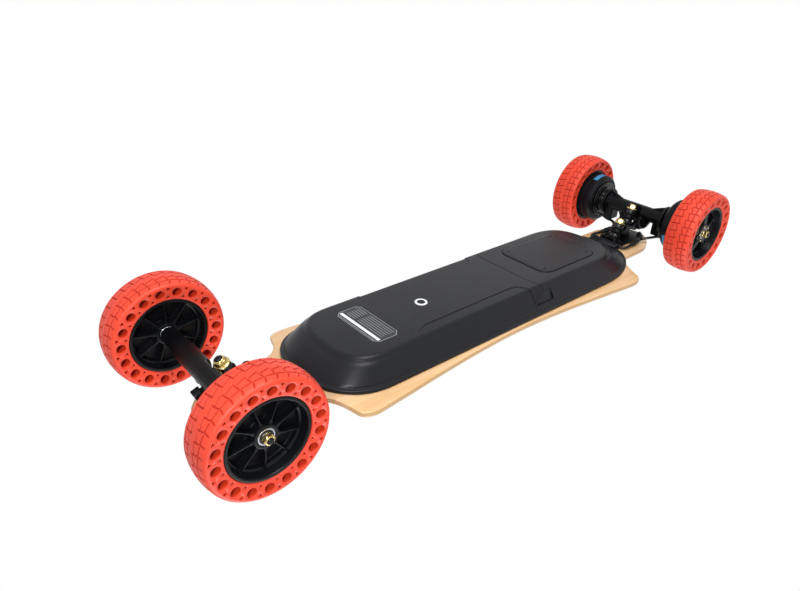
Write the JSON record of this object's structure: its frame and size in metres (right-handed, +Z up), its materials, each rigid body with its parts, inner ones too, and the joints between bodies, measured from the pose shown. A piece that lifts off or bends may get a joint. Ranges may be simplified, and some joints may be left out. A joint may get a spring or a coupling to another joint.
{
  "type": "electric mountainboard",
  "caption": "Electric mountainboard with a concave maple deck, an enclosed battery case, double pivot trucks, airless tyres and rear hub motors",
  "frame": {"origin": "on the ground, under the middle of the wheelbase and the middle of the width, with the board standing on its four tyres", "axes": "+X to the nose, the end without motors; +Y to the rider's left; +Z up"},
  "size_m": [1.145, 0.3238, 0.165],
  "materials": {
    "maple": "clear satin lacquer over light maple plies",
    "grip": "coarse matt grip surface",
    "casing": "satin black moulded plastic",
    "seal": "matt black rubber",
    "ring": "smooth white",
    "nylon": "black glass-filled nylon",
    "alloy_black": "black anodised and painted castings",
    "zinc": "yellow zinc plated steel",
    "steel": "bright ground steel",
    "urethane": "smooth black urethane",
    "tyre": "coral red solid rubber",
    "motor_black": "black coated steel drum",
    "cell_wrap": "blue shrink wrap",
    "finned_alloy": "plain finned aluminium"
  },
  "bodies": {
    "board": {"battery_pack": "cell_wrap", "button_ring": "ring", "cable_cover": "casing", "case_gasket": "seal", "case_shell": "casing", "charge_port": "nylon", "deck": "maple", "front_base_bushing_lower": "urethane", "front_base_bushing_upper": "urethane", "front_base_kingpin": "steel", "front_base_kingpin_nut": "zinc", "front_base_plate": "alloy_black", "grip_tape": "grip", "hatch_cover": "casing", "motor_cable_left": "seal", "motor_cable_right": "seal", "motor_controller": "finned_alloy", "rear_base_bushing_lower": "urethane", "rear_base_bushing_upper": "urethane", "rear_base_kingpin": "steel", "rear_base_kingpin_nut": "zinc", "rear_base_plate": "alloy_black"},
    "front_swivel": {"front_hanger_bushing_lower": "urethane", "front_hanger_bushing_upper": "urethane", "front_hanger_kingpin": "steel", "front_hanger_kingpin_nut": "zinc", "front_swivel": "alloy_black"},
    "front_hanger": {"front_axle": "steel", "front_hanger": "alloy_black", "front_left_axle_nut": "zinc", "front_right_axle_nut": "zinc"},
    "front_left_wheel": {"front_left_bearing_inner": "steel", "front_left_bearing_outer": "steel", "front_left_rim": "nylon", "front_left_tyre": "tyre"},
    "front_right_wheel": {"front_right_bearing_inner": "steel", "front_right_bearing_outer": "steel", "front_right_rim": "nylon", "front_right_tyre": "tyre"},
    "rear_swivel": {"rear_hanger_bushing_lower": "urethane", "rear_hanger_bushing_upper": "urethane", "rear_hanger_kingpin": "steel", "rear_hanger_kingpin_nut": "zinc", "rear_swivel": "alloy_black"},
    "rear_hanger": {"rear_axle": "steel", "rear_hanger": "alloy_black", "rear_left_axle_nut": "zinc", "rear_left_motor_stator": "motor_black", "rear_right_axle_nut": "zinc", "rear_right_motor_stator": "motor_black"},
    "rear_left_wheel": {"rear_left_bearing_outer": "steel", "rear_left_motor_rotor": "motor_black", "rear_left_rim": "nylon", "rear_left_tyre": "tyre"},
    "rear_right_wheel": {"rear_right_bearing_outer": "steel", "rear_right_motor_rotor": "motor_black", "rear_right_rim": "nylon", "rear_right_tyre": "tyre"},
    "power_button": {"power_button": "nylon"},
    "charge_port_cap": {"charge_port_cap": "seal"}
  },
  "joints": [
    {"name": "front_swivel_pivot", "type": "hinge", "parent": "board", "child": "front_swivel", "pos_m": [0.4265, 0, 0.114], "axis": [0.9272, 0, 0.3746], "range_deg": [-10, 10], "stiffness_Nm_per_rad": 40, "deforming": ["front_base_bushing_upper", "front_base_bushing_lower"]},
    {"name": "front_hanger_pivot", "type": "hinge", "parent": "front_swivel", "child": "front_hanger", "pos_m": [0.46298, 0, 0.09045], "axis": [0.9272, 0, 0.3746], "range_deg": [-10, 10], "stiffness_Nm_per_rad": 40, "deforming": ["front_hanger_bushing_upper", "front_hanger_bushing_lower"]},
    {"name": "front_left_wheel_spin", "type": "hinge", "parent": "front_hanger", "child": "front_left_wheel", "pos_m": [0.49, 0.133, 0.0825], "axis": [0, 1, 0], "continuous": true},
    {"name": "front_right_wheel_spin", "type": "hinge", "parent": "front_hanger", "child": "front_right_wheel", "pos_m": [0.49, -0.133, 0.0825], "axis": [0, 1, 0], "continuous": true},
    {"name": "rear_swivel_pivot", "type": "hinge", "parent": "board", "child": "rear_swivel", "pos_m": [-0.4265, 0, 0.114], "axis": [-0.9272, 0, 0.3746], "range_deg": [-10, 10], "stiffness_Nm_per_rad": 40, "deforming": ["rear_base_bushing_upper", "rear_base_bushing_lower", "motor_cable_left", "motor_cable_right"]},
    {"name": "rear_hanger_pivot", "type": "hinge", "parent": "rear_swivel", "child": "rear_hanger", "pos_m": [-0.46298, 0, 0.09045], "axis": [-0.9272, 0, 0.3746], "range_deg": [-10, 10], "stiffness_Nm_per_rad": 40, "deforming": ["rear_hanger_bushing_upper", "rear_hanger_bushing_lower"]},
    {"name": "rear_left_wheel_spin", "type": "hinge", "parent": "rear_hanger", "child": "rear_left_wheel", "pos_m": [-0.49, 0.136, 0.0825], "axis": [0, 1, 0], "continuous": true},
    {"name": "rear_right_wheel_spin", "type": "hinge", "parent": "rear_hanger", "child": "rear_right_wheel", "pos_m": [-0.49, -0.136, 0.0825], "axis": [0, 1, 0], "continuous": true},
    {"name": "power_button_press", "type": "slide", "parent": "board", "child": "power_button", "axis": [0, 0, 1], "range_m": [0, 0.0015], "stiffness_N_per_m": 600},
    {"name": "charge_cap_hinge", "type": "hinge", "parent": "board", "child": "charge_port_cap", "pos_m": [-0.099, -0.08821, 0.1179], "axis": [0, 0.5008, -0.8656], "range_deg": [0, 110]}
  ],
  "couplings": [
    {"joint": "front_hanger_pivot", "follows": "front_swivel_pivot", "ratio": 1},
    {"joint": "rear_hanger_pivot", "follows": "rear_swivel_pivot", "ratio": 1}
  ]
}
